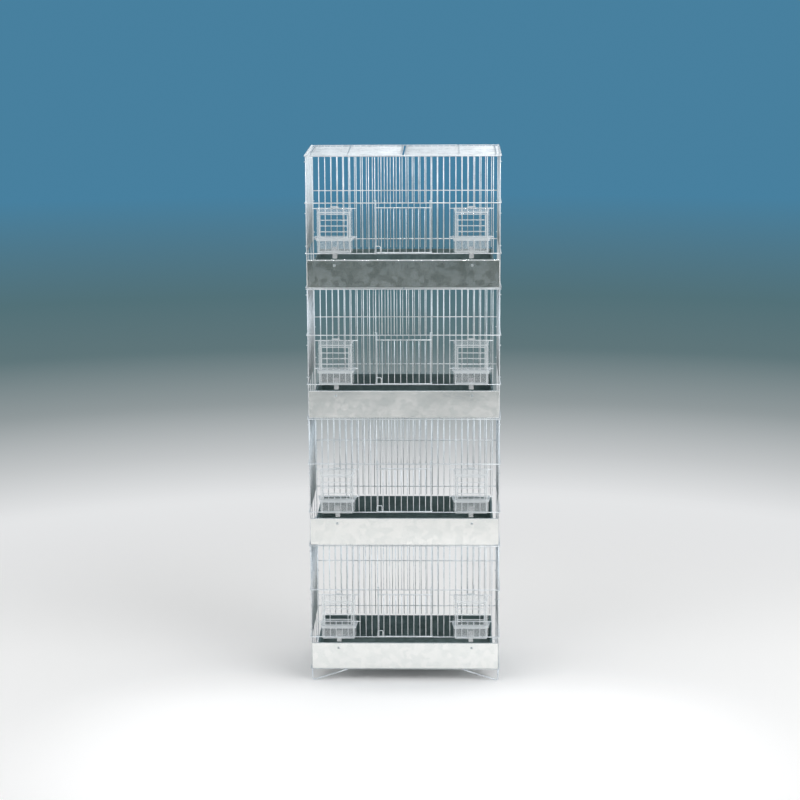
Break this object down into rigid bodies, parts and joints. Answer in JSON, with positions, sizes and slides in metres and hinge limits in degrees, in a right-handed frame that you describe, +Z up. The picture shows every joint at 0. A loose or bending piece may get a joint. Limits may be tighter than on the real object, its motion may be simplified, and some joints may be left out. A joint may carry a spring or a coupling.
{
  "type": "stacking bird cage",
  "caption": "Stack of wire breeding cages for small birds, each with a lift-up door, a pull-out steel drawer and clear tip-out feeders, on a low wire stand.",
  "frame": {"origin": "on the floor, under the middle of the stack's bounding box with its feeders", "axes": "+X to the right seen from the front, +Y to the back, +Z up; the doors face -Y"},
  "size_m": [0.45, 0.293, 1.253],
  "materials": {
    "wire": "bright galvanised",
    "door_wire": "bright galvanised",
    "pan_sheet": "dull galvanised sheet",
    "front_sheet": "spangled galvanised sheet",
    "clear_plastic": "clear moulded",
    "clip_plastic": "translucent moulded"
  },
  "bodies": {
    "cage_1": {"cage_1_front_grille": "wire", "cage_1_rear_grille": "wire", "cage_1_left_grille": "wire", "cage_1_right_grille": "wire", "cage_1_roof_grille": "wire", "front_stand": "wire", "rear_stand": "wire"},
    "cage_1_door": {"cage_1_door": "door_wire"},
    "cage_1_drawer": {"cage_1_drawer_pan": "pan_sheet", "cage_1_drawer_front": "front_sheet"},
    "cage_1_left_feeder": {"cage_1_left_feeder_cup": "clear_plastic", "cage_1_left_feeder_hood": "clear_plastic", "cage_1_left_feeder_clip": "clip_plastic"},
    "cage_1_right_feeder": {"cage_1_right_feeder_cup": "clear_plastic", "cage_1_right_feeder_hood": "clear_plastic", "cage_1_right_feeder_clip": "clip_plastic"},
    "cage_2": {"cage_2_front_grille": "wire", "cage_2_rear_grille": "wire", "cage_2_left_grille": "wire", "cage_2_right_grille": "wire", "cage_2_roof_grille": "wire"},
    "cage_2_door": {"cage_2_door": "door_wire"},
    "cage_2_drawer": {"cage_2_drawer_pan": "pan_sheet", "cage_2_drawer_front": "front_sheet"},
    "cage_2_left_feeder": {"cage_2_left_feeder_cup": "clear_plastic", "cage_2_left_feeder_hood": "clear_plastic", "cage_2_left_feeder_clip": "clip_plastic"},
    "cage_2_right_feeder": {"cage_2_right_feeder_cup": "clear_plastic", "cage_2_right_feeder_hood": "clear_plastic", "cage_2_right_feeder_clip": "clip_plastic"},
    "cage_3": {"cage_3_front_grille": "wire", "cage_3_rear_grille": "wire", "cage_3_left_grille": "wire", "cage_3_right_grille": "wire", "cage_3_roof_grille": "wire"},
    "cage_3_door": {"cage_3_door": "door_wire"},
    "cage_3_drawer": {"cage_3_drawer_pan": "pan_sheet", "cage_3_drawer_front": "front_sheet"},
    "cage_3_left_feeder": {"cage_3_left_feeder_cup": "clear_plastic", "cage_3_left_feeder_hood": "clear_plastic", "cage_3_left_feeder_clip": "clip_plastic"},
    "cage_3_right_feeder": {"cage_3_right_feeder_cup": "clear_plastic", "cage_3_right_feeder_hood": "clear_plastic", "cage_3_right_feeder_clip": "clip_plastic"},
    "cage_4": {"cage_4_front_grille": "wire", "cage_4_rear_grille": "wire", "cage_4_left_grille": "wire", "cage_4_right_grille": "wire", "cage_4_roof_grille": "wire"},
    "cage_4_door": {"cage_4_door": "door_wire"},
    "cage_4_drawer": {"cage_4_drawer_pan": "pan_sheet", "cage_4_drawer_front": "front_sheet"},
    "cage_4_left_feeder": {"cage_4_left_feeder_cup": "clear_plastic", "cage_4_left_feeder_hood": "clear_plastic", "cage_4_left_feeder_clip": "clip_plastic"},
    "cage_4_right_feeder": {"cage_4_right_feeder_cup": "clear_plastic", "cage_4_right_feeder_hood": "clear_plastic", "cage_4_right_feeder_clip": "clip_plastic"}
  },
  "joints": [
    {"name": "cage_1_door_slide", "type": "slide", "parent": "cage_1", "child": "cage_1_door", "axis": [0, 0, 1], "range_m": [0, 0.095]},
    {"name": "cage_1_drawer_slide", "type": "slide", "parent": "cage_1", "child": "cage_1_drawer", "axis": [0, -1, 0], "range_m": [0, 0.2]},
    {"name": "cage_1_left_feeder_tip", "type": "hinge", "parent": "cage_1", "child": "cage_1_left_feeder", "pos_m": [-0.1562, -0.1023, 0.109], "axis": [1, 0, 0], "range_deg": [0, 45]},
    {"name": "cage_1_right_feeder_tip", "type": "hinge", "parent": "cage_1", "child": "cage_1_right_feeder", "pos_m": [0.1562, -0.1023, 0.109], "axis": [1, 0, 0], "range_deg": [0, 45]},
    {"name": "cage_2_lift", "type": "slide", "parent": "cage_1", "child": "cage_2", "axis": [0, 0, 1], "range_m": [0, 0.06]},
    {"name": "cage_2_door_slide", "type": "slide", "parent": "cage_2", "child": "cage_2_door", "axis": [0, 0, 1], "range_m": [0, 0.095]},
    {"name": "cage_2_drawer_slide", "type": "slide", "parent": "cage_2", "child": "cage_2_drawer", "axis": [0, -1, 0], "range_m": [0, 0.2]},
    {"name": "cage_2_left_feeder_tip", "type": "hinge", "parent": "cage_2", "child": "cage_2_left_feeder", "pos_m": [-0.1562, -0.1023, 0.415], "axis": [1, 0, 0], "range_deg": [0, 45]},
    {"name": "cage_2_right_feeder_tip", "type": "hinge", "parent": "cage_2", "child": "cage_2_right_feeder", "pos_m": [0.1562, -0.1023, 0.415], "axis": [1, 0, 0], "range_deg": [0, 45]},
    {"name": "cage_3_lift", "type": "slide", "parent": "cage_2", "child": "cage_3", "axis": [0, 0, 1], "range_m": [0, 0.06]},
    {"name": "cage_3_door_slide", "type": "slide", "parent": "cage_3", "child": "cage_3_door", "axis": [0, 0, 1], "range_m": [0, 0.095]},
    {"name": "cage_3_drawer_slide", "type": "slide", "parent": "cage_3", "child": "cage_3_drawer", "axis": [0, -1, 0], "range_m": [0, 0.2]},
    {"name": "cage_3_left_feeder_tip", "type": "hinge", "parent": "cage_3", "child": "cage_3_left_feeder", "pos_m": [-0.1562, -0.1023, 0.721], "axis": [1, 0, 0], "range_deg": [0, 45]},
    {"name": "cage_3_right_feeder_tip", "type": "hinge", "parent": "cage_3", "child": "cage_3_right_feeder", "pos_m": [0.1562, -0.1023, 0.721], "axis": [1, 0, 0], "range_deg": [0, 45]},
    {"name": "cage_4_lift", "type": "slide", "parent": "cage_3", "child": "cage_4", "axis": [0, 0, 1], "range_m": [0, 0.06]},
    {"name": "cage_4_door_slide", "type": "slide", "parent": "cage_4", "child": "cage_4_door", "axis": [0, 0, 1], "range_m": [0, 0.095]},
    {"name": "cage_4_drawer_slide", "type": "slide", "parent": "cage_4", "child": "cage_4_drawer", "axis": [0, -1, 0], "range_m": [0, 0.2]},
    {"name": "cage_4_left_feeder_tip", "type": "hinge", "parent": "cage_4", "child": "cage_4_left_feeder", "pos_m": [-0.1562, -0.1023, 1.027], "axis": [1, 0, 0], "range_deg": [0, 45]},
    {"name": "cage_4_right_feeder_tip", "type": "hinge", "parent": "cage_4", "child": "cage_4_right_feeder", "pos_m": [0.1562, -0.1023, 1.027], "axis": [1, 0, 0], "range_deg": [0, 45]}
  ]
}
